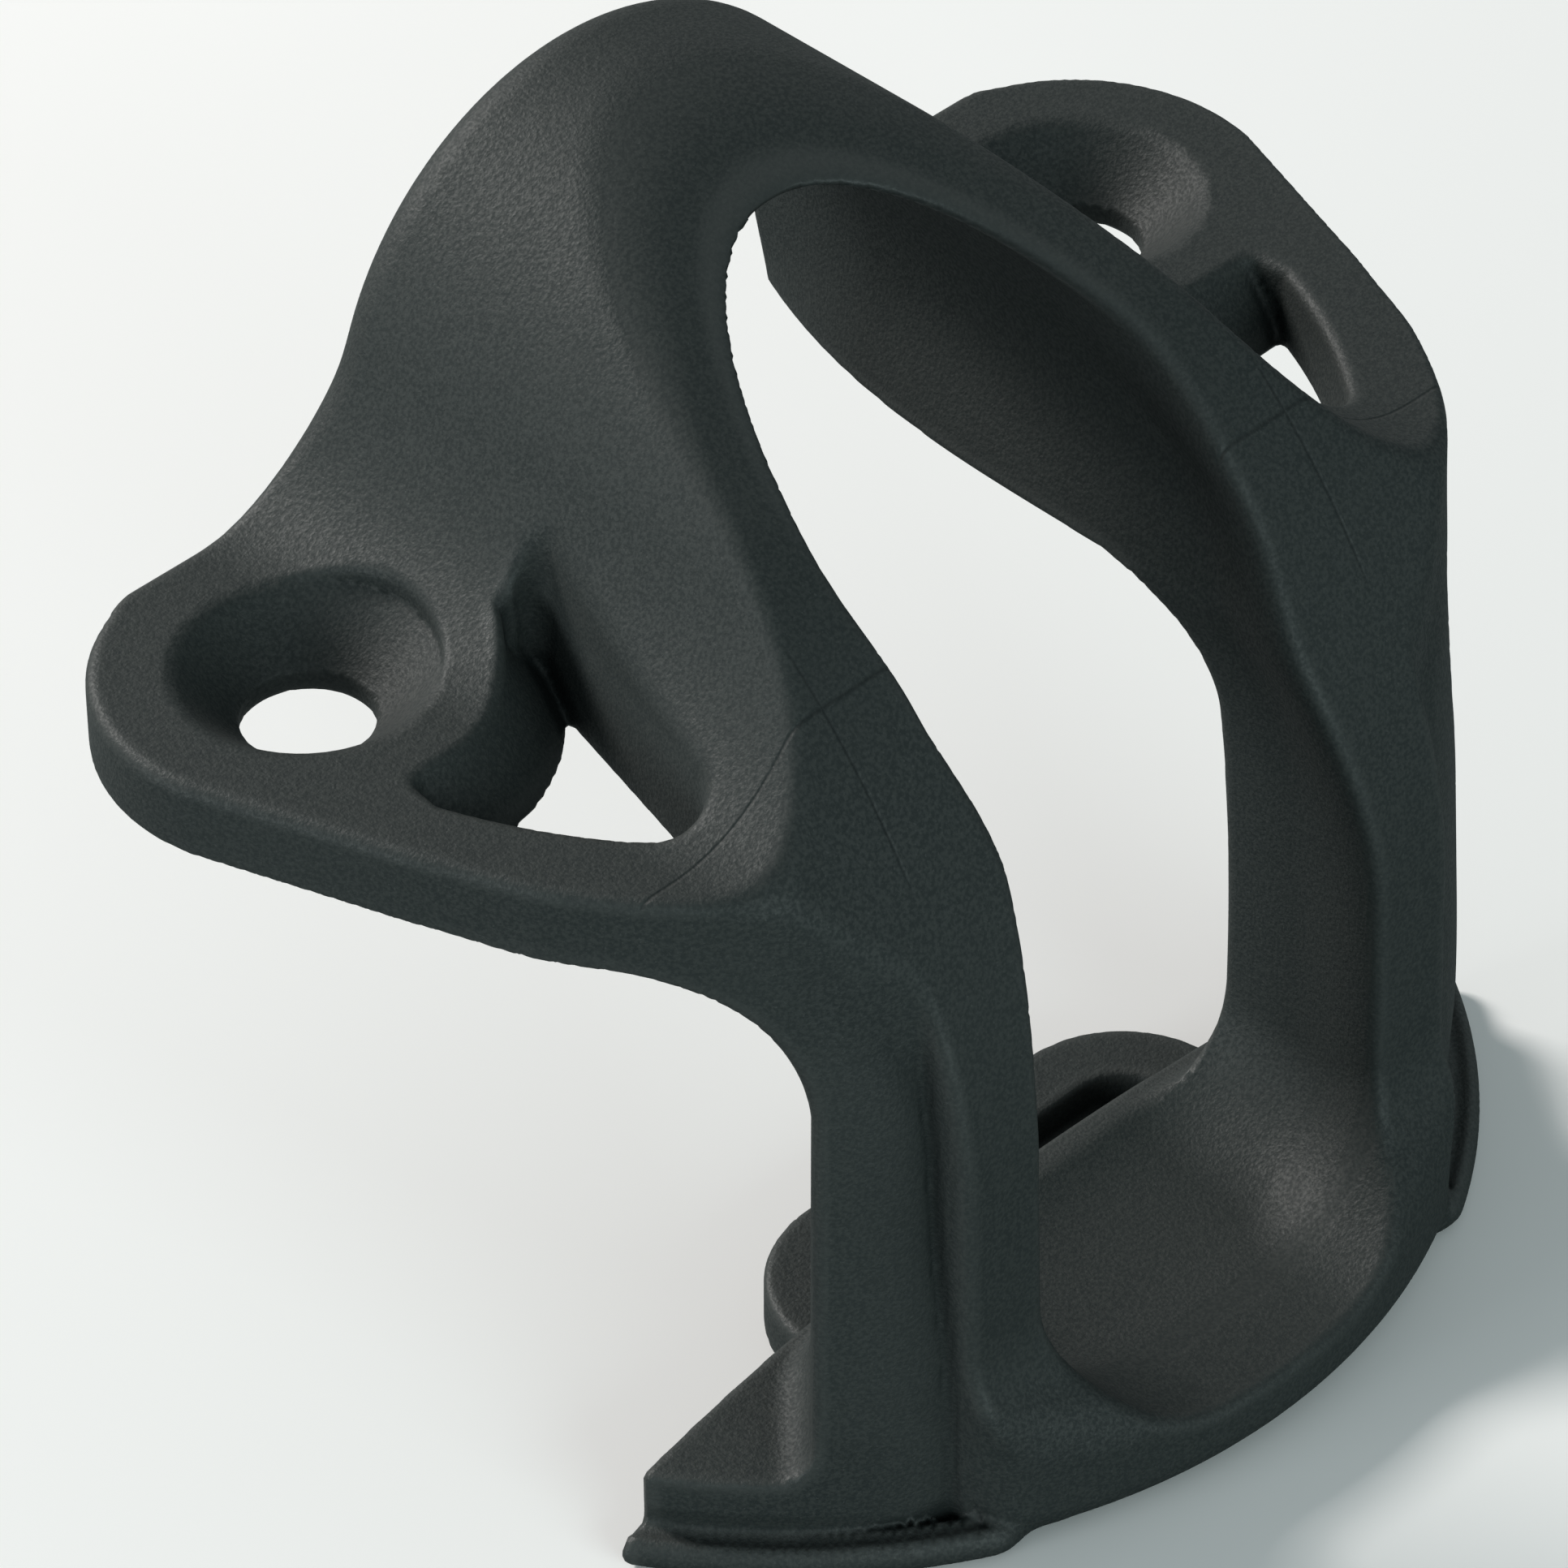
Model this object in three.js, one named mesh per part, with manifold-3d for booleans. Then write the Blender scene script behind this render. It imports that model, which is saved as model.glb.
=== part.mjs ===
// Cleat horn: a one-piece moulded fairlead that bolts on top of a cam cleat and
// holds the rope in line with the cams when it arrives from a steep angle.
// Millimetres. X across the horn, -Y towards the mouth, +Y over the cleat, +Z up. The
// dimensions are taken from the deck plane midway between the two bolt holes; the finished
// part is then moved so that its origin is the bottom centre of its own box.
import * as THREE from 'three';
import { mergeVertices } from 'three/addons/utils/BufferGeometryUtils.js';
import Module from 'manifold-3d';

// ---- driving dimensions ----
const HOLE_X = 19;            // bolt hole from the centre plane (38 mm spacing)
const HOLE_R = 2.4;
const SINK_R = 4.6;           // 90 degree countersink for a flat-head screw
const EAR_TOP = 29;
const EAR_T = 3;
const EAR_R = 7.35;           // ear outline round each hole
const EAR_ARC = 25.1;         // front outline of the ears, an arc about (0, EAR_ARC_Y)
const EAR_ARC_Y = -0.6;
const REAR_Y = 7.3;           // rear edge of ears and hood
const BASE_TOP = 3.7;
const BASE_R = 24.1;          // front edge of the base, an arc about (0, BASE_Y)
const BASE_Y = -4.1;
const BASE_REAR = -15.4;      // rear edge of the base on the centre plane
const BASE_REAR_R = 118;
const LIP_T = 1.4;            // bead along the foot of the base
const TONGUE_W = 10.76;       // half width
const TONGUE_REAR = -10.65;
const TONGUE_T = 2.3;
const POCKET_WALL = 2.6;
const POCKET_DEEP = 1.5;
const LEG_OUT = 12.2;         // outer face of the legs and of the mouth rim
const LEG_IN = 9.2;           // inner face of the legs near the base
const LEG_FRONT = 8.5;        // and at the mouth, where a rim narrows the opening
const LEG_REAR = -16.8;
const CORNER_R = 5.2;         // fillet between the ear undersides and the square rear of the legs
const SLANT_R = 6.9;          // and their 45 degree rear faces
const BUTTRESS_IN = 11.65;    // the 45 degree rear face of each leg starts here
const FACE_TOP = 42.15;       // mouth face: height where the sloping part meets Y = 0
const FACE_SLOPE = 26.6;      // degrees above the deck
const FACE_BEND = 13;         // radius from the sloping part into the upright part
const FACE_Y = -24.5;         // upright part of the face at the bend
const FACE_FOOT = -25.35;     // and at the deck
const THROAT_TOP = 40.8;      // highest point of the rope passage
const THROAT_HALF = 7;        // narrowest half width between the legs
const HOOD_FILLET = 6;        // hood side into the ear tops
const HOOD_ROUND = 1.7;       // rounding of the hood's rear edge
const WINDOW_RIB = 2.85;      // ear left in front of each window
const WINDOW_DEEP = 7;        // the windows are cut this far below the ear undersides
const BOSS_R = 6.7;           // window wall round each bolt hole at the ear top
const BOSS_LEAN = 0.6;        // and how much it widens per millimetre of depth
const BOX_MID_Y = -10.95;     // middle of the part's box, from the line between the bolt holes
const MAT = new THREE.MeshStandardMaterial({ color: 0x3e3f3d, roughness: 0.62, metalness: 0 });

const BIG = 60;                // larger than the part, for cutting blocks
const rad = (d) => (d * Math.PI) / 180;
const steps = (n) => Array.from({ length: n + 1 }, (_, i) => i / n);

// Piecewise linear curve through [position, value] pairs.
const along = (table) => (p) => {
  const i = Math.max(1, table.findIndex(([q]) => q >= p));
  const [[a, u], [b, v]] = [table[i - 1], table[i]];
  return u + ((v - u) * (p - a)) / (b - a);
};

// ---- solids ----
const wasm = await Module();
wasm.setup();

function solid(geometry) {
  const g = geometry.clone();
  g.deleteAttribute('normal');
  g.deleteAttribute('uv');
  const m = mergeVertices(g, 1e-4);
  return new wasm.Manifold(new wasm.Mesh({
    numProp: 3,
    vertProperties: new Float32Array(m.attributes.position.array),
    triVerts: new Uint32Array(m.index.array),
  }));
}

const union = (list) => list.reduce((a, b) => a.add(b));

// Plan outline (x, y) raised from z0 to z1.
function raise(shape, z0, z1, curveSegments = 24) {
  const g = new THREE.ExtrudeGeometry(shape, { depth: z1 - z0, bevelEnabled: false, curveSegments });
  return solid(g.translate(0, 0, z0));
}

// Side profile (y, z) carried along X from x0 to x1.
function across(shape, x0, x1) {
  const g = new THREE.ExtrudeGeometry(shape, { depth: x1 - x0, bevelEnabled: false, curveSegments: 16 });
  const turn = new THREE.Matrix4().makeBasis(
    new THREE.Vector3(0, 1, 0), new THREE.Vector3(0, 0, 1), new THREE.Vector3(1, 0, 0));
  return solid(g.applyMatrix4(turn).translate(x0, 0, 0));
}

const polygon = (points) => new THREE.Shape(points.map(([x, y]) => new THREE.Vector2(x, y)));
const mirrored = (half) => [...half, ...half.filter(([x]) => x > 0).reverse().map(([x, z]) => [-x, z])];

// Closed skin over rings of equal length; flat gives a ring point's in-plane coordinates.
function skin(rings, flat) {
  const n = rings[0].length;
  const faces = [];
  for (let k = 0; k + 1 < rings.length; k += 1) {
    for (let i = 0; i < n; i += 1) {
      const a = k * n + i;
      const b = k * n + ((i + 1) % n);
      faces.push([a, b, b + n], [a, b + n, a + n]);
    }
  }
  const area = THREE.ShapeUtils.area;
  for (const [k, side] of [[0, -1], [rings.length - 1, 1]]) {
    const outline = rings[k].map(flat);
    for (const [a, b, c] of THREE.ShapeUtils.triangulateShape(outline, [])) {
      const same = area([outline[a], outline[b], outline[c]]) * area(outline) * side > 0;
      const [p, q, r] = [a, b, c].map((v) => v + k * n);
      faces.push(same ? [p, q, r] : [p, r, q]);
    }
  }
  const points = rings.flat();
  const volume = faces.reduce((sum, [a, b, c]) => sum
    + points[a].dot(new THREE.Vector3().crossVectors(points[b], points[c])), 0);
  const g = new THREE.BufferGeometry().setFromPoints(points);
  g.setIndex(faces.flatMap(([a, b, c]) => (volume > 0 ? [a, b, c] : [a, c, b])));
  return solid(g);
}

// Skin over rings standing in planes Y = y, one for each [y, value] station.
const loft = (stations, ringAt) => skin(
  stations.map(([y, value]) => ringAt([y, value]).map(([x, z]) => new THREE.Vector3(x, y, z))),
  (p) => new THREE.Vector2(p.x, p.z));

const both = (make) => union([make(1), make(-1)]);

// ---- mouth face: everything in front of it is cut away ----
function faceProfile() {
  const slope = Math.tan(rad(FACE_SLOPE));
  const tangent = FACE_BEND * Math.tan(rad((90 - FACE_SLOPE) / 2));
  const cornerZ = FACE_TOP + slope * FACE_Y;
  const centre = [FACE_Y + FACE_BEND, cornerZ - tangent];
  const bend = steps(10).map((t) => {
    const a = rad(90 + FACE_SLOPE + t * (90 - FACE_SLOPE));
    return [centre[0] + FACE_BEND * Math.cos(a), centre[1] + FACE_BEND * Math.sin(a)];
  });
  const behind = [[BIG, -1], [BIG, FACE_TOP + slope * BIG]];
  return polygon([...behind, ...bend, [FACE_FOOT, -1]]);
}

// ---- ears ----
function earOutline() {
  const arc = steps(40).map((t) => rad(-18 - t * 144))
    .map((a) => [EAR_ARC * Math.cos(a), EAR_ARC_Y + EAR_ARC * Math.sin(a)]);
  const right = steps(14).map((t) => rad(90 - t * 105))
    .map((a) => [HOLE_X + EAR_R * Math.cos(a), EAR_R * Math.sin(a)]);
  const left = right.map(([x, y]) => [-x, y]).reverse();
  return polygon([...right, ...arc, ...left].map(([x, y]) => [x, Math.min(y, REAR_Y)]));
}

function holes() {
  const depth = SINK_R - HOLE_R;
  const profile = [
    [0, EAR_TOP - EAR_T - 1], [HOLE_R, EAR_TOP - EAR_T - 1], [HOLE_R, EAR_TOP - depth],
    [SINK_R, EAR_TOP], [SINK_R, EAR_TOP + 10], [0, EAR_TOP + 10],
  ].map(([x, y]) => new THREE.Vector2(x, y));
  return both((s) => solid(new THREE.LatheGeometry(profile, 40)
    .rotateX(Math.PI / 2).translate(s * HOLE_X, 0, 0)));
}

// Triangular lightening window between the hole, the hood and the front outline. The wall
// round the hole leans into the window on its way down.
function windows() {
  const rim = EAR_ARC - WINDOW_RIB;
  const floor = EAR_TOP - EAR_T - WINDOW_DEEP;
  const shape = new THREE.Shape();
  shape.moveTo(11.87, -4.6);
  shape.lineTo(14.35, -13.4);
  shape.absarc(15.9, -13.78, 1.6, rad(194), rad(319), false);
  shape.absarc(0, EAR_ARC_Y, rim, rad(-39), rad(-20.5), false);
  shape.absarc(20, -7.5, 0.75, 0, rad(95), false);
  shape.absarc(HOLE_X, 0, BOSS_R, rad(-80), rad(-146), true);
  shape.absarc(12.6, -4.5, 0.75, rad(60), rad(188), false);
  const depth = EAR_TOP - floor;
  const profile = [[0, floor - 1], [BOSS_R + BOSS_LEAN * (depth + 1), floor - 1],
    [BOSS_R, EAR_TOP], [0, EAR_TOP]].map(([x, y]) => new THREE.Vector2(x, y));
  const boss = solid(new THREE.LatheGeometry(profile, 64).rotateX(Math.PI / 2)
    .translate(HOLE_X, 0, 0));
  const cut = raise(shape, floor, EAR_TOP + 12, 10).subtract(boss);
  return cut.add(cut.mirror([1, 0, 0]));
}

// ---- hood: an arch that widens a little towards the mouth, rounded over at the rear ----
const hoodR = along([[-30, 12.3], [-20, 12.3], [-12, 12.05], [-5, 11.7], [REAR_Y, 11.7]]);
const hoodZ = along([[-30, 0.9], [-20, 0.9], [-2, 2], [REAR_Y, 2]]);

function hood() {
  const rear = [90, 60, 30, 0].map((d) => [REAR_Y - HOOD_ROUND * (1 - Math.sin(rad(d))),
    HOOD_ROUND * (1 - Math.cos(rad(d)))]);
  const stations = [...rear, [-2, 0], [-5, 0], [-12, 0], [-20, 0], [-27, 0]];
  return loft(stations, ([y, drop]) => {
    const r = hoodR(y) - drop;
    const lift = hoodZ(y);
    const fx = Math.sqrt((r + HOOD_FILLET) ** 2 - (HOOD_FILLET - lift) ** 2);
    const lean = Math.atan2(HOOD_FILLET - lift, fx);
    const sweep = steps(8).map((t) => -Math.PI / 2 - t * (Math.PI / 2 - lean))
      .map((a) => [fx + HOOD_FILLET * Math.cos(a), HOOD_FILLET + HOOD_FILLET * Math.sin(a)]);
    const arch = steps(12).slice(1, -1).map((t) => lean + t * (Math.PI / 2 - lean))
      .map((a) => [r * Math.cos(a), lift + r * Math.sin(a)]);
    const half = [[fx, -2], ...sweep, ...arch, [0, lift + r]];
    return mirrored(half).map(([x, z]) => [x, z + EAR_TOP]);
  });
}

// Arched rim of the mouth, standing proud of the ear front between the legs.
function hoodRim() {
  const r = LEG_OUT + 0.1;
  const arch = steps(20).map((t) => Math.PI * t)
    .map((a) => [r * Math.cos(a), EAR_TOP + 0.9 + r * Math.sin(a)]);
  const g = new THREE.ExtrudeGeometry(polygon([[-r, EAR_TOP - 8], [r, EAR_TOP - 8], ...arch]),
    { depth: 12, bevelEnabled: false });
  return solid(g.rotateX(Math.PI / 2).translate(0, -16, 0));
}

// ---- rope passage: narrow waist under the hood, flared at both ends ----
const waist = along([[-30, 12], [-24, 8.9], [-20, 8.3], [-17, 7.8], [-14, 7.3], [-10, 7.3],
  [-6, 7.5], [-2, 7.8], [2, 8.4], [5, 9.4], [REAR_Y, 10.5], [10, 12]]);
const archX = along([[-30, 12], [-24, 8.95], [2, 8.95], [REAR_Y, 9.3], [10, 9.8]]);
const footX = along([[-30, 11.5], [-24.3, LEG_FRONT], [-20, LEG_IN], [10, LEG_IN]]);
const footR = along([[-30, 2], [-24, 4.5], [10, 4.5]]);

function throat() {
  const under = EAR_TOP - EAR_T;
  const spring = EAR_TOP + 2;
  const stations = [9, REAR_Y, 5, 2, -2, -6, -10, -14, -17, -20, -24, -30].map((y) => [y]);
  return loft(stations, ([y]) => {
    const floor = BASE_TOP - 0.09 * Math.max(0, LEG_REAR - y);
    const foot = steps(5).map((t) => rad(-90 + 90 * t))
      .map((a) => [footX(y) - footR(y) * (1 - Math.cos(a)), floor + footR(y) * (1 + Math.sin(a))]);
    const cheek = steps(4).slice(1)
      .map((t) => [footX(y) + (waist(y) - footX(y)) * t ** 2, 9 + (under - 9) * t]);
    const arch = steps(10).slice(0, -1).map((t) => (t * Math.PI) / 2)
      .map((a) => [archX(y) * Math.cos(a), spring + (THROAT_TOP - spring) * Math.sin(a)]);
    return mirrored([...foot, ...cheek, ...arch, [0, THROAT_TOP]]);
  });
}

// ---- legs: strips beside the mouth, each backed by a buttress flush with the outlines ----
function legs() {
  const strip = mouthStrip(0, EAR_TOP);
  const outline = (y0, r, s, z) => {
    // the 45 degree rear face ends where it meets the outline arc
    const drop = y0 - LEG_REAR;
    const reach = (Math.sqrt(2 * r ** 2 - (BUTTRESS_IN - drop) ** 2) - BUTTRESS_IN - drop) / 2;
    const edge = steps(6).map((t) => BUTTRESS_IN + reach + t * (LEG_OUT - 1.2 - BUTTRESS_IN - reach))
      .map((x) => [x, y0 - Math.sqrt(r ** 2 - x ** 2)]);
    return [[LEG_OUT - 1.2, LEG_REAR], [BUTTRESS_IN, LEG_REAR], ...edge]
      .map(([x, y]) => new THREE.Vector3(s * x, y, z));
  };
  const buttress = (s) => skin(
    [outline(BASE_Y, BASE_R, s, 0), outline(EAR_ARC_Y - 0.3, EAR_ARC, s, EAR_TOP - 0.5)],
    (p) => new THREE.Vector2(p.x, p.y));
  return strip.add(both(buttress));
}

// Rounded corner between the flat ear underside and the rear of each leg.
function cornerFillets() {
  const under = EAR_TOP - EAR_T;
  const sunk = 0.8;
  const profile = (r) => {
    const arc = steps(7).map((t) => rad(90 + 90 * t))
      .map((a) => [r + r * Math.cos(a), under - r + r * Math.sin(a)]);
    return polygon([...arc, [-sunk, under - r], [-sunk, under + 0.5], [r, under + 0.5]]);
  };
  const straight = across(profile(CORNER_R), THROAT_HALF, BUTTRESS_IN + 0.1)
    .translate([0, LEG_REAR, 0]);
  const slanted = across(profile(SLANT_R), -2.4, 9).rotate([0, 0, -45])
    .translate([BUTTRESS_IN, LEG_REAR, 0]);
  const one = straight.add(slanted).intersect(raise(earOutline(), 0, EAR_TOP));
  return one.add(one.mirror([1, 0, 0]));
}

// ---- base: plate, lip, sill under the mouth, tongue that slips under the cleat ----
function baseOutline(r, spread) {
  const x = 20.9 * spread;
  const rear = (q) => BASE_REAR - BASE_REAR_R + Math.sqrt(BASE_REAR_R ** 2 - q ** 2);
  const back = steps(12).map((t) => -x + 2 * x * t).map((q) => [q, rear(q)]);
  const end = Math.atan2(rear(x) - BASE_Y, x);
  const front = steps(36).slice(1, -1).map((t) => end + t * (-Math.PI - 2 * end))
    .map((a) => [r * Math.cos(a), BASE_Y + r * Math.sin(a)]);
  return polygon([...back, ...front]);
}

const mouthStrip = (z0, z1) => raise(polygon([[-LEG_OUT, -BIG], [LEG_OUT, -BIG],
  [LEG_OUT, LEG_REAR], [-LEG_OUT, LEG_REAR]]), z0, z1);

// Disc about the base arc's centre with the given edge profile of [radius, z] points.
function disc(edge) {
  const profile = [[0, 0], ...edge, [0, edge.at(-1)[1]]].map(([x, y]) => new THREE.Vector2(x, y));
  return solid(new THREE.LatheGeometry(profile, 96).rotateX(Math.PI / 2).translate(0, BASE_Y, 0));
}

// Bead along the foot of each wing, below a groove.
function lip() {
  const bead = disc([[24.3, 0], [25.1, 0.4], [25.4, 0.9], [25.3, LIP_T]]);
  return bead.intersect(raise(baseOutline(BIG / 2, 1.02), 0, LIP_T + 1)).subtract(mouthStrip(-1, BASE_TOP));
}

// Rounded nose that the rope runs over, between the feet of the legs.
function sill() {
  const nose = disc([[24.05, 0], [24.7, 0.6], [25.1, 1.2], [25.05, 1.7], [24.6, 2.3],
    [23.9, 2.75], [23, 2.95]]);
  return nose.intersect(mouthStrip(-1, BASE_TOP));
}

function roundedBack(half, rear, front, r) {
  const shape = new THREE.Shape();
  shape.moveTo(-half, front);
  shape.lineTo(half, front);
  shape.lineTo(half, rear - r);
  shape.absarc(half - r, rear - r, r, 0, Math.PI / 2, false);
  shape.absarc(-half + r, rear - r, r, Math.PI / 2, Math.PI, false);
  return shape;
}

function tongue() {
  const plate = raise(roundedBack(TONGUE_W, TONGUE_REAR, -18, 4.9), 0, TONGUE_T, 10);
  const w = TONGUE_W - POCKET_WALL;
  const pocket = roundedBack(w, TONGUE_REAR - POCKET_WALL, BASE_REAR - 0.1, 2.1);
  return plate.subtract(raise(pocket, TONGUE_T - POCKET_DEEP, TONGUE_T + 1, 8));
}

// ---- assembly ----
const face = across(faceProfile(), -BIG, BIG);
const plan = raise(earOutline(), 0, EAR_TOP + 30);
const ears = raise(earOutline(), EAR_TOP - EAR_T, EAR_TOP);
const overCleat = raise(polygon([[-BIG, LEG_REAR], [BIG, LEG_REAR], [BIG, BIG], [-BIG, BIG]]),
  -1, EAR_TOP - EAR_T);

const top = ears.add(hood().intersect(plan)).subtract(overCleat);
const upper = union([top, hoodRim(), legs(), cornerFillets()]).intersect(face);
const base = union([raise(baseOutline(BASE_R, 1), 0, BASE_TOP), lip(), sill()]);
const body = union([upper, base])
  .subtract(throat())
  .add(tongue())
  .subtract(holes())
  .subtract(windows())
  .translate([0, -BOX_MID_Y, 0]);

function toMesh(shape, name) {
  const m = shape.getMesh();
  const g = new THREE.BufferGeometry();
  g.setAttribute('position', new THREE.BufferAttribute(new Float32Array(m.vertProperties), 3));
  g.setIndex(new THREE.BufferAttribute(new Uint32Array(m.triVerts), 1));
  g.computeVertexNormals();
  const mesh = new THREE.Mesh(g, MAT);
  mesh.name = name;
  return mesh;
}

const part = new THREE.Group();
part.name = 'cleat_horn';
part.add(toMesh(body, 'horn_body'));
export default part;
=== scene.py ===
"""Cleat horn: a one-piece moulded rope guide, modelled as one smooth skin over a distance field.

The shape functions work in millimetres from the deck midway between the screw holes, X across,
-Y out of the mouth, +Z up. The finished skin is moved to the frame of the CAD part, whose origin
is the bottom centre of its box. The horn is its own mirror image, so the functions are only ever
asked about x >= 0. Each returns a distance that is negative inside.
"""

import math

import bpy
import numpy as np
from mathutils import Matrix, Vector


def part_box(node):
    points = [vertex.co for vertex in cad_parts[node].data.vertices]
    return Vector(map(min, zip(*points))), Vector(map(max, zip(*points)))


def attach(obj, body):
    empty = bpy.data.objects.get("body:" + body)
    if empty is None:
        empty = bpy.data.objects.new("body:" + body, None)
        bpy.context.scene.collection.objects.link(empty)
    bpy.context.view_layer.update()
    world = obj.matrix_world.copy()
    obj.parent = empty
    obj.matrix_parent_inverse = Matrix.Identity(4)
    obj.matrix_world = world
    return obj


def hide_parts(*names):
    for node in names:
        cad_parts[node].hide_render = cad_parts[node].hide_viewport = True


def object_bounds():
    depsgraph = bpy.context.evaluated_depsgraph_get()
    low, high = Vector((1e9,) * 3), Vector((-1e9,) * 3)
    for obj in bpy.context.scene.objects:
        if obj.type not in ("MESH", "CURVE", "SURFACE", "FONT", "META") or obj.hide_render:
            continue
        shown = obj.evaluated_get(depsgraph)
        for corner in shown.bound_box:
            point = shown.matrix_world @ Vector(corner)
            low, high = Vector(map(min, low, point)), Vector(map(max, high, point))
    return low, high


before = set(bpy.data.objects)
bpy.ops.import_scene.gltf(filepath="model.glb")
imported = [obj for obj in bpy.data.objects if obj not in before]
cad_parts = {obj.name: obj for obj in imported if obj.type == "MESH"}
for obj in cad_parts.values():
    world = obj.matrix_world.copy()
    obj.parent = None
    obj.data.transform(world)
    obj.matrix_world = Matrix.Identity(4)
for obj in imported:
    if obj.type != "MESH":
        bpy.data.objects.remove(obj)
cad_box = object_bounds()

# ---- driving dimensions, mm ----
HOLE_X = 19.0              # screw hole from the centre plane
HOLE_R = 2.35
SINK_R = 4.6               # 90 degree countersink
EAR_TOP = 29.0
EAR_UNDER = 25.9
EAR_R = 7.42               # ear outline round each hole
BOSS_R = 6.7               # window's wall round the screw
EAR_ARC = 25.1             # front outline of the ears, about (0, EAR_ARC_Y)
EAR_ARC_Y = -0.6
REAR_Y = 7.3               # rear edge of ears and hood
HOOD_R = 11.7
HOOD_FILLET = 6            # hood sides into the ear tops
WINDOW_RIB = 2.85          # ear left in front of each window
WINDOW_DEEP = 7            # windows are cut this far below the ear undersides
BASE_TOP = 3.7
BASE_R = 24.3              # front outline of the base, about (0, BASE_Y)
BASE_Y = -4.1
BASE_END = 21.75           # half width of the base
BASE_REAR = -15.3
BASE_REAR_R = 118.0
SILL_R = 25.0              # rounded nose of the sill
BEAD_RING = 24.65          # bead along the foot of each wing: ring radius, then its own radius
BEAD_R = 0.75
GROOVE_RING = 24.6         # groove over the bead: ring radius, height, then its own radius
GROOVE_Z = 1.75
GROOVE_R = 0.45
LEG_OUT = 12.25            # outer side of the mouth rim
LEG_IN = 9.05              # inner side of the legs near the base
LEG_REAR = -16.8
CORNER_R = 5.2             # fillet from the ear undersides into the rear of the legs
BUTTRESS_IN = 11.75        # the 45 degree rear face of each leg starts here
MOUTH_SLOPE = math.radians(26.6)
MOUTH_TOP = 42.15          # height of the sloping mouth face on the plane Y = 0
MOUTH_BEND = 12.5
MOUTH_Y = -24.15           # upright mouth face at the ears
MOUTH_FOOT = -25.35        # and at the deck
RIM_Z = 29.9               # centre of the rim's arch
PASSAGE_WAIST = 7.05       # least half width, in the plane Y = WAIST_Y
WAIST_Y = -12
PASSAGE_A = 8.95           # rope passage: half width, and height of its elliptical crown
PASSAGE_B = 9.8
PASSAGE_Z = 31.0           # where the crown springs from
FLOOR_R = 4.5              # passage sides into its floor
TONGUE_X = 10.76
TONGUE_Y = -10.65
TONGUE_TOP = 2.3
TONGUE_R = 4.9
POCKET_WALL = 2.6
POCKET_FLOOR = 0.8
STEP = 0.28                # spacing of the sampling grid
RELAX = 8                  # passes that even out the skin's points
MARGIN = 0.6               # grid beyond the part's box
SHIFT = np.array((0, 10.95, 0))    # from the middle of the screw holes' line to the CAD's origin

# ---- looks, in metres and linear colour ----
CHARCOAL = (0.023, 0.028, 0.027)
CHARCOAL_LIGHT = (0.034, 0.039, 0.037)
CHARCOAL_DARK = (0.014, 0.019, 0.019)
# lighter flecks at random, and the painted highlight along convex edges
CHARCOAL_FLECK_AND_HIGHLIGHT = (0.066, 0.070, 0.067)
# painted shade in creases and hollows, and the mould's dark witness lines
CHARCOAL_SHADE_AND_LINE = (0.003, 0.006, 0.006)
LINE_WIDTH = 0.00011
FLOOR = (0.95, 0.94, 0.93)
FLOOR_BOUNCE = (0.20, 0.22, 0.22)   # a weaker bounce keeps the front faces dark
SKY = (0.86, 0.97, 1.0)
SKY_STRENGTH = 0.27
LIGHTS = (                 # name, place, size, watts, colour
    ("key", (-0.10, 0.52, 0.36), 0.18, 4.0, (1.0, 0.97, 0.94)),
    ("side", (-0.55, 0.10, 0.05), 0.20, 1.5, (0.90, 0.99, 1.0)),
    ("fill", (-0.10, -0.60, 0.16), 0.40, 2.0, (0.80, 0.98, 0.98)),
)
VIEW_AZIMUTH, VIEW_ELEVATION = -45.212, 40.069
VIEW_LENS = 190.4
VIEW_DISTANCE = 0.289526
VIEW_OFFSET = (-0.00387, 0.00326, -0.00206)


# ---- distance helpers ----
def ramp(value, start, end):
    """Smooth 0 to 1 as value goes from start to end."""
    t = np.clip((value - start) / (end - start), 0, 1)
    return t * t * (3 - 2 * t)


def join(a, b, r):
    """Both solids, with a fillet of radius r where they meet."""
    return np.maximum(r, np.minimum(a, b)) - np.hypot(np.maximum(r - a, 0), np.maximum(r - b, 0))


def meet(a, b, r):
    """What two solids share, its edge rounded to radius r."""
    return np.minimum(-r, np.maximum(a, b)) + np.hypot(np.maximum(r + a, 0), np.maximum(r + b, 0))


def outline(points, x, y):
    """Distance to a closed plan outline."""
    nearest, inside = np.inf, False
    for (ax, ay), (bx, by) in zip(points, points[1:] + points[:1]):
        ex, ey = bx - ax, by - ay
        t = np.clip(((x - ax) * ex + (y - ay) * ey) / (ex * ex + ey * ey), 0, 1)
        nearest = np.minimum(nearest, np.hypot(x - ax - t * ex, y - ay - t * ey))
        level = ey if abs(ey) > 1e-9 else 1e-9
        inside = inside ^ (((ay > y) != (by > y)) & (x < ax + (y - ay) * ex / level))
    return np.where(inside, -nearest, nearest)


def arc(cx, cy, r, start, end, count=16):
    """Points on an arc, angles in degrees."""
    return [(cx + r * math.cos(a), cy + r * math.sin(a))
            for a in np.radians(np.linspace(start, end, count))]


# ---- plan outlines ----
EAR_PLAN = ([(-1, REAR_Y + 3), (HOLE_X, REAR_Y + 3)] + arc(HOLE_X, 0, EAR_R, 90, -15, 30)
            + arc(0, EAR_ARC_Y, EAR_ARC, -18, -92, 40))

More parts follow.
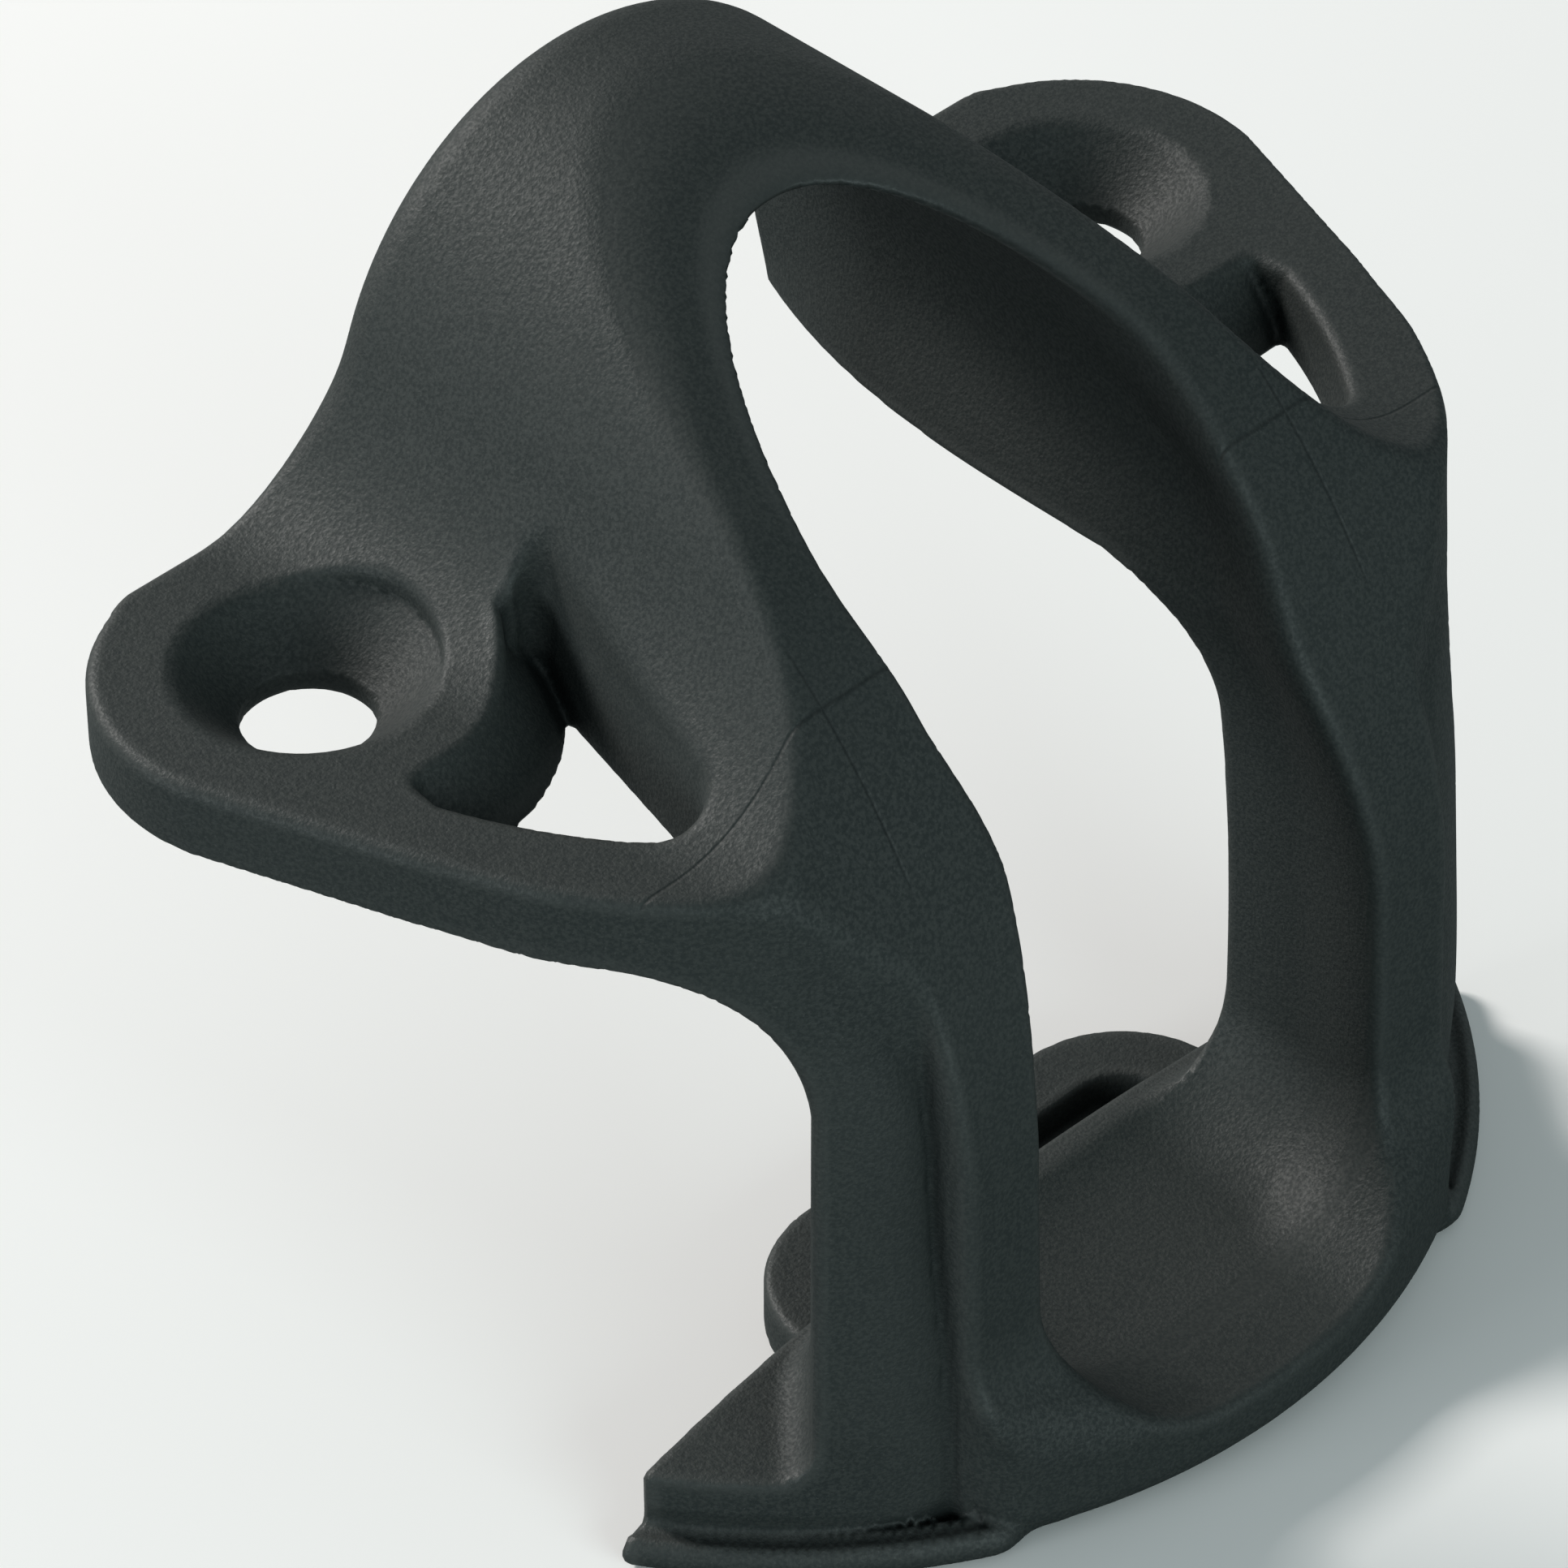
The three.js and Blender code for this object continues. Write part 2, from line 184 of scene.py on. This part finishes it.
# front edge, outer corner, boss round the screw, inner end, corner by the hood
WINDOW_PLAN = (arc(0, EAR_ARC_Y, EAR_ARC - WINDOW_RIB, -39, -20.5, 20)
               + arc(20.0, -7.5, 0.75, 0, 95, 8)
               + arc(HOLE_X, 0, BOSS_R, -80, -146, 16)
               + arc(12.6, -4.5, 0.75, 60, 194, 10)
               + arc(15.9, -13.78, 1.6, 194, 319, 12))


def mouth_face(y, z):
    """Side profile of the mouth: a sloping face that bends over into an upright one."""
    slope = (z - MOUTH_TOP) * math.cos(MOUTH_SLOPE) - y * math.sin(MOUTH_SLOPE)
    upright = MOUTH_FOOT + (MOUTH_Y - MOUTH_FOOT) * z / EAR_TOP - y
    return meet(slope, upright, MOUTH_BEND)


def hood_and_ears(x, y, z):
    """Everything under the top surface: the arched hood with wide fillets into flat ears."""
    lift = 2 - 1.1 * ramp(y, -2, -20)
    radius = HOOD_R + 0.6 * ramp(y, -4, -20)
    hood = np.hypot(x, z - EAR_TOP - lift) - radius
    top = join(hood, z - EAR_TOP, HOOD_FILLET)
    return meet(top, y - REAR_Y, 0.4 + 1.5 * ramp(z, 29.2, 34))


def leg_rear(x, y, z):
    """Rear of each leg: square to the mouth inboard, 45 degrees outboard."""
    square = y - LEG_REAR + 0.4 * (1 - z / EAR_UNDER)
    slanted = (x - BUTTRESS_IN + y - LEG_REAR) * math.sqrt(0.5)
    return meet(square, slanted, 0.5)


def base_rear(x, y):
    """Shallow arc that ends the base behind the legs."""
    return y - (BASE_REAR - BASE_REAR_R + np.sqrt(BASE_REAR_R ** 2 - x ** 2))


def structure(x, y, z):
    """Ears over legs over base, in side view, before the plan outline trims them."""
    corner = CORNER_R + 1.7 * ramp(x, 11, 13.5)
    hung = join(EAR_UNDER - z, leg_rear(x, y, z), corner)
    top = BASE_TOP + 3 * ramp(x, 11, 9.4) * ramp(y, -16.9, -17.6)
    base = meet(z - top, base_rear(x, y), 0.35)
    return meet(hood_and_ears(x, y, z), join(hung, base, 1.4), 0.4)


def wall_radius(z):
    """Outer wall of base and legs, with its draft."""
    return BASE_R + 0.05 - 0.055 * 1.5 * np.log1p(np.exp((z - 8) / 1.5))


def footprint(x, y, z):
    """Plan trim: the ears above, the legs' outer wall and the mouth rim below."""
    deep = 0.9 + 0.5 * ramp(z, 4, 14) + 0.9 * ramp(z, 17, 28)
    crease = deep * np.exp(-np.maximum(x - LEG_OUT, 0) / (1.8 + 1.2 * ramp(z, 16, 28)))
    wall = np.hypot(x, y - BASE_Y) - wall_radius(z) + crease
    wall = meet(wall, x - BASE_END, 0.3)
    ears = outline(EAR_PLAN, x, y) + 20 * ramp(z, 16, 12)
    sink = 1.2 * ramp(y, -18, -12)
    rim = np.hypot(x, np.maximum(z - RIM_Z, 0)) - LEG_OUT + sink
    return join(join(ears, wall, 0.3 + 1.2 * ramp(x, 15, 20)), rim, 0.3)


def passage(x, y, z):
    """Rope passage: waisted under the hood, flared at the rear and over the sill."""
    waist = (PASSAGE_WAIST + 3.1 * (np.maximum(y - WAIST_Y, 0) / 19) ** 3
             + 1.6 * (np.maximum(WAIST_Y - y, 0) / 11.6) ** 1.5)
    face = mouth_face(y, z)
    narrow = 0.5 + 0.5 * ramp(z, 17, 25) - 1.1 * ramp(z, 31, 36)
    narrow = narrow * ramp(face, -4.5, -0.5)
    crown = PASSAGE_A + 0.4 * ramp(y, 0, 9)
    cheek = LEG_IN + (waist - LEG_IN) * np.clip((z - 9) / (EAR_UNDER - 9), 0, 1) ** 2
    cheek = cheek + (crown - cheek) * ramp(z, 25, PASSAGE_Z)
    side = x - cheek + narrow
    crown = crown - narrow
    top = PASSAGE_B - 0.75 * ramp(face, -3.5, 0)
    arch = (np.hypot(x / crown, np.maximum(z - PASSAGE_Z, 0) / top) - 1) * crown
    side = np.where(z > PASSAGE_Z, arch, side)
    behind, ahead = np.maximum(y - LEG_REAR, 0), np.maximum(LEG_REAR - y, 0)
    floor = BASE_TOP + 0.6 * behind - 0.8 * (1 - np.exp(-ahead / 1.8)) + 0.15 * ramp(face, -3, 0.5)
    return meet(side, floor - z, FLOOR_R + 1.2 * ramp(face, -3, 0))


def wing_bead(x, y, z):
    """Bead along the foot of each wing, under a groove."""
    ring = np.hypot(x, y - BASE_Y)
    bead = np.hypot(ring - BEAD_RING + 0.9 * ramp(x, 12.2, 9.8), z - BEAD_R) - BEAD_R
    bead = meet(bead, base_rear(x, y), 0.3)
    return meet(bead, 9 - x, 0.3)


def wing_groove(x, y, z):
    """Round-bottomed groove over the bead, ending at the mouth rim."""
    groove = np.hypot(np.hypot(x, y - BASE_Y) - GROOVE_RING, z - GROOVE_Z) - GROOVE_R
    return np.maximum(groove, LEG_OUT - 0.2 - x)


def tongue(x, y, z):
    """Flat tongue with a blind pocket, rounded at the back."""
    across, along = x - TONGUE_X + TONGUE_R, y - TONGUE_Y + TONGUE_R
    plan = (np.hypot(np.maximum(across, 0), np.maximum(along, 0))
            + np.minimum(np.maximum(across, along), 0) - TONGUE_R)
    plate = meet(plan, np.abs(z - TONGUE_TOP / 2) - TONGUE_TOP / 2, 0.3)
    plate = np.maximum(plate, -18 - y)
    pocket = meet(plan + POCKET_WALL, POCKET_FLOOR - z, 0.3)
    return meet(plate, -pocket, 0.25)


def screw_hole(x, y, z):
    """Plain hole with a 90 degree countersink, open above the ear."""
    ring = np.hypot(x - HOLE_X, y)
    cone = (ring - SINK_R + EAR_TOP - z) * math.sqrt(0.5)
    return np.maximum(ring - SINK_R, np.minimum(ring - HOLE_R, cone))


def window(x, y, z):
    """Triangular opening whose walls, the one round the screw most of all, lean in as they go down."""
    depth = np.maximum(EAR_TOP - z, -1)
    boss = (BOSS_R + 0.72 * depth - np.hypot(x - HOLE_X, y)) * 0.86
    opening = meet(outline(WINDOW_PLAN, x, y) + 0.07 * (depth + 1), boss, 0.3)
    return np.maximum(opening, EAR_UNDER - WINDOW_DEEP - z)


def horn(x, y, z):
    """The whole moulding."""
    body = meet(structure(x, y, z), footprint(x, y, z),
                0.45 + 1.4 * ramp(x, 19, 14) * ramp(z, 27.5, 28.5) - 0.25 * ramp(z, 6, 4.5))
    face = mouth_face(y, z)
    ahead = join(face, z - 4.4, 4.5)
    body = meet(body, ahead, 0.45 + 0.6 * ramp(z, 36, 41))
    nose = np.hypot(x, y - BASE_Y) - SILL_R - 4 * ramp(z, 4, 14)
    body = meet(body, nose, 1.3)
    body = meet(body, -z, 0.3 + 1.3 * ramp(nose, -2, -1) * ramp(x, LEG_OUT + 0.5, LEG_OUT - 0.5))
    body = meet(body, -passage(x, y, z), 0.45 + 0.25 * ramp(face, -4.5, -1.5) * ramp(z, 32, 36))
    body = join(body, wing_bead(x, y, z), 0.2)
    body = meet(body, -wing_groove(x, y, z), 0.15)
    body = join(body, tongue(x, y, z), 0.25)
    body = meet(body, -screw_hole(x, y, z), 0.25)
    return meet(body, -window(x, y, z), 0.4)


# ---- skin over the zero surface ----
def surface_nets(values, corner):
    """One vertex in each grid cell the surface crosses, and a quad round each crossed grid edge."""
    rings, crossings = [], []
    for axis in range(3):
        low = np.delete(values, -1, axis)
        high = np.delete(values, 0, axis)
        edges = np.argwhere((low < 0) != (high < 0))
        a, b = low[tuple(edges.T)], high[tuple(edges.T)]
        points = edges.astype(float)
        points[:, axis] += a / (a - b)
        cells = []
        for du, dv in ((0, 0), (-1, 0), (-1, -1), (0, -1)):
            cell = edges.copy()
            cell[:, (axis + 1) % 3] += du
            cell[:, (axis + 2) % 3] += dv
            cells.append(np.ravel_multi_index(cell.T, values.shape))
        ring = np.stack(cells, 1)
        ring[a > 0] = ring[a > 0][:, ::-1]
        rings.append(ring)
        crossings.append(np.repeat(points, 4, axis=0))
    rings, crossings = np.concatenate(rings), np.concatenate(crossings)
    _, index = np.unique(rings, return_inverse=True)
    index = index.ravel()
    count = np.bincount(index)
    place = [np.bincount(index, crossings[:, k]) / count for k in range(3)]
    return corner + np.stack(place, 1) * STEP, index.reshape(-1, 4)


def at(points):
    """The field at scattered points, mirrored in the centre plane."""
    return horn(np.abs(points[:, 0]), points[:, 1], points[:, 2])


def gradient(points, reach=0.04):
    """Slope of the field, by differences over a short reach."""
    steps = np.eye(3) * reach
    return np.stack([at(points + s) - at(points - s) for s in steps], 1) / (2 * reach)


def settle(points):
    """Moves points onto the surface, and gives the outward normal there."""
    slope = gradient(points)
    length = np.maximum(np.linalg.norm(slope, axis=1, keepdims=True), 0.4)
    move = at(points)[:, None] * slope / length ** 2
    return points - np.clip(move, -STEP / 2, STEP / 2), slope / length


def slide(points, quads, normals):
    """Half the way, within the surface, from each point to the middle of its neighbours."""
    ends = np.concatenate([quads, np.roll(quads, -1, axis=1)], axis=1).T.ravel()
    near = np.concatenate([np.roll(quads, -1, axis=1), quads], axis=1).T.ravel()
    count = np.bincount(ends, minlength=len(points))
    middle = np.stack([np.bincount(ends, points[near, k], len(points)) / count for k in range(3)], 1)
    move = (middle - points) / 2
    return move - (move * normals).sum(1, keepdims=True) * normals


def skin(low, high):
    """Points, quads and outward normals of the horn between two corners."""
    x = np.arange(0, high[0], STEP, dtype=np.float32)
    y = np.arange(low[1], high[1], STEP, dtype=np.float32)
    z = np.arange(low[2], high[2], STEP, dtype=np.float32)
    half = horn(x[:, None, None], y[None, :, None], z[None, None, :])
    values = np.concatenate([half[:0:-1], half])
    points, quads = surface_nets(values, np.array([-x[-1], low[1], low[2]]))
    for _ in range(RELAX):
        points, normals = settle(points)
        points = points + slide(points, quads, normals)
    points, _ = settle(points)
    points, normals = settle(points)
    return points, quads, normals


# ---- the piece ----
def horn_skin():
    """The skin as one mesh in metres, with masks for the finish read off the field, the painted edge
    highlight and crevice shade among them.
    """
    low, high = (1000 * np.array(corner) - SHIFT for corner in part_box("horn_body"))
    points, quads, normals = skin(low - MARGIN, high + MARGIN)
    mesh = bpy.data.meshes.new("horn_skin")
    mesh.from_pydata((points + SHIFT) / 1000, [], quads.tolist())
    mesh.polygons.foreach_set("use_smooth", np.ones(len(quads), dtype=bool))
    masks = {
        # this mask marks convex edges, where a highlight is painted into the colour
        "edge": np.clip((0.62 + at(points - 0.6 * normals)) / 0.3, 0, 1),
        # this mask marks hollows and creases, where shade is painted into the colour
        "crevice_shade": np.clip((0.58 - at(points + 0.6 * normals)) / 0.3, 0, 1),
        "rim": ramp(np.abs(mouth_face(points[:, 1], points[:, 2])), 0.7, 0.4),
    }
    for name, values in masks.items():
        mesh.attributes.new(name, "FLOAT", "POINT").data.foreach_set("value", values.astype(np.float32))
    mesh.normals_split_custom_set_from_vertices(normals)
    piece = bpy.data.objects.new("horn_skin", mesh)
    bpy.context.collection.objects.link(piece)
    return piece


# ---- finish ----
class Nodes:
    """Short calls for a material's node tree."""

    def __init__(self, name):
        self.material = bpy.data.materials.new(name)
        self.material.use_nodes = True
        self.tree = self.material.node_tree
        self.shader = self.tree.nodes["Principled BSDF"]

    def set(self, node, values):
        for name, value in values.items():
            socket = node.inputs[name]
            if isinstance(value, bpy.types.NodeSocket):
                self.tree.links.new(value, socket)
            else:
                socket.default_value = value
        return node

    def add(self, kind, values, **settings):
        node = self.tree.nodes.new("ShaderNode" + kind)
        for name, value in settings.items():
            setattr(node, name, value)
        return self.set(node, values)

    def math(self, operation, *values):
        node = self.add("Math", dict(enumerate(values)), operation=operation)
        return node.outputs[0]

    def mask(self, name):
        return self.add("Attribute", {}, attribute_name=name).outputs["Fac"]

    def remap(self, value, start, end, low=0.0, high=1.0):
        node = self.add("MapRange", {"Value": value, "From Min": start, "From Max": end,
                                     "To Min": low, "To Max": high}, interpolation_type="SMOOTHSTEP")
        return node.outputs["Result"]

    def noise(self, place, size, detail=2.0):
        node = self.add("TexNoise", {"Vector": place, "Scale": 1 / size, "Detail": detail})
        return node.outputs["Fac"]

    def mix(self, factor, a, b):
        node = self.add("Mix", {}, data_type="RGBA")
        self.set(node, {"Factor": factor})
        for socket, value in ((node.inputs[6], a), (node.inputs[7], b)):
            if isinstance(value, bpy.types.NodeSocket):
                self.tree.links.new(value, socket)
            else:
                socket.default_value = (*value, 1)
        return node.outputs[2]


def moulded_nylon():
    """Charcoal moulded nylon: fine spark-eroded grain, smoother on the rope's faces. Its colour also
    carries painted shade in creases and a painted highlight along convex edges.
    """
    nodes = Nodes("moulded_nylon")
    place = nodes.add("TexCoord", {}).outputs["Object"]
    axes = nodes.add("SeparateXYZ", {"Vector": place}).outputs
    up = nodes.add("SeparateXYZ", {"Vector": nodes.add("NewGeometry", {}).outputs["Normal"]}).outputs["Z"]
    edge, crevice_shade, rim = (nodes.mask(name) for name in ("edge", "crevice_shade", "rim"))

    grain = nodes.noise(place, 0.00015, 3)
    speck = nodes.noise(place, 0.00010, 1)
    cloud = nodes.noise(place, 0.006, 3)
    dark = nodes.mix(cloud, CHARCOAL_DARK, CHARCOAL)
    tone = nodes.mix(nodes.remap(grain, 0.36, 0.66), dark, CHARCOAL_LIGHT)
    tone = nodes.mix(nodes.math("MULTIPLY", nodes.remap(speck, 0.64, 0.78), 0.5), tone, CHARCOAL_FLECK_AND_HIGHLIGHT)
    # painted highlight along convex edges
    tone = nodes.mix(nodes.math("MULTIPLY", edge, 0.45), tone, CHARCOAL_FLECK_AND_HIGHLIGHT)
    # painted shade in creases and hollows
    tone = nodes.mix(nodes.math("MULTIPLY", crevice_shade, 0.7), tone, CHARCOAL_SHADE_AND_LINE)

    witness = witness_lines(nodes, axes, up, rim)
    tone = nodes.mix(nodes.math("MULTIPLY", witness, 0.4), tone, CHARCOAL_SHADE_AND_LINE)

    rough = nodes.remap(grain, 0.3, 0.7, 0.70, 0.56)
    rough = nodes.math("SUBTRACT", rough, nodes.math("MULTIPLY", edge, 0.12))
    height = nodes.math("ADD", grain, nodes.math("MULTIPLY", speck, 0.4))
    height = nodes.math("MULTIPLY", height, nodes.remap(rim, 0.0, 1.0, 1.0, 0.35))
    height = nodes.math("SUBTRACT", height, witness)
    bump = nodes.add("Bump", {"Height": height, "Distance": 0.00005, "Strength": 0.7}).outputs["Normal"]
    nodes.set(nodes.shader, {"Base Color": tone, "Roughness": rough, "Normal": bump,
                             "Specular IOR Level": 0.3})
    return nodes.material


def witness_lines(nodes, axes, up, rim):
    """Hairlines where the mould's slides met: across each ear, and down the rim's outer band."""
    across = nodes.math("ABSOLUTE", nodes.math("SUBTRACT", axes["Y"], (LEG_REAR + SHIFT[1]) / 1000))
    across = nodes.remap(across, 0.0, LINE_WIDTH, 1.0, 0.0)
    across = nodes.math("MULTIPLY", across, nodes.remap(up, 0.25, 0.45))
    across = nodes.math("MULTIPLY", across, nodes.remap(axes["Z"], 0.0275, 0.0285))
    down = nodes.math("SUBTRACT", nodes.math("ABSOLUTE", axes["X"]), 0.0113)
    down = nodes.remap(nodes.math("ABSOLUTE", down), 0.0, LINE_WIDTH, 1.0, 0.0)
    down = nodes.math("MULTIPLY", down, rim)
    down = nodes.math("MULTIPLY", down, nodes.remap(axes["Z"], 0.026, 0.029))
    down = nodes.math("MULTIPLY", down, nodes.remap(axes["Z"], 0.0345, 0.033))
    return nodes.math("MAXIMUM", across, down)


def floor_and_light(middle):
    """A plain pale floor under a warm light from above and behind and a cool fill from the front."""
    mesh = bpy.data.meshes.new("floor")
    mesh.from_pydata([(x, y, 0) for x, y in ((-3, -3), (3, -3), (3, 3), (-3, 3))], [], [(0, 1, 2, 3)])
    ground = bpy.data.objects.new("floor", mesh)
    bpy.context.collection.objects.link(ground)
    nodes = Nodes("floor")
    seen = nodes.add("LightPath", {}).outputs["Is Camera Ray"]
    nodes.set(nodes.shader, {"Base Color": nodes.mix(seen, FLOOR_BOUNCE, FLOOR), "Roughness": 0.9,
                             "Specular IOR Level": 0.1})
    mesh.materials.append(nodes.material)

    world = bpy.context.scene.world or bpy.data.worlds.new("studio")
    bpy.context.scene.world = world
    world.use_nodes = True
    sky = world.node_tree.nodes["Background"].inputs
    sky["Color"].default_value = (*SKY, 1)
    sky["Strength"].default_value = SKY_STRENGTH
    for name, place, size, power, colour in LIGHTS:
        light = bpy.data.lights.new(name, "AREA")
        light.size, light.energy, light.color = size, power, colour
        lamp = bpy.data.objects.new(name, light)
        lamp.location = Vector(place) + Vector(SHIFT / 1000)
        lamp.rotation_euler = (middle - lamp.location).to_track_quat("-Z", "Y").to_euler()
        bpy.context.collection.objects.link(lamp)


def camera(middle):
    """The view from the front left, above."""
    azimuth, elevation = math.radians(VIEW_AZIMUTH), math.radians(VIEW_ELEVATION)
    back = Vector((math.sin(azimuth) * math.cos(elevation), -math.cos(azimuth) * math.cos(elevation),
                   math.sin(elevation)))
    lens = bpy.data.cameras.new("camera")
    lens.lens, lens.sensor_width, lens.clip_start = VIEW_LENS, 36, 0.01
    view = bpy.data.objects.new("camera", lens)
    view.location = middle + Vector(VIEW_OFFSET) + back * VIEW_DISTANCE
    view.rotation_euler = back.to_track_quat("Z", "Y").to_euler()
    bpy.context.collection.objects.link(view)
    bpy.context.scene.camera = view


piece = horn_skin()
piece.data.materials.append(moulded_nylon())
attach(piece, "root")
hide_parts("horn_body")

low, high = cad_box
middle = (Vector(low) + Vector(high)) / 2
floor_and_light(middle)
camera(middle)
bpy.context.scene.view_settings.view_transform = "Standard"
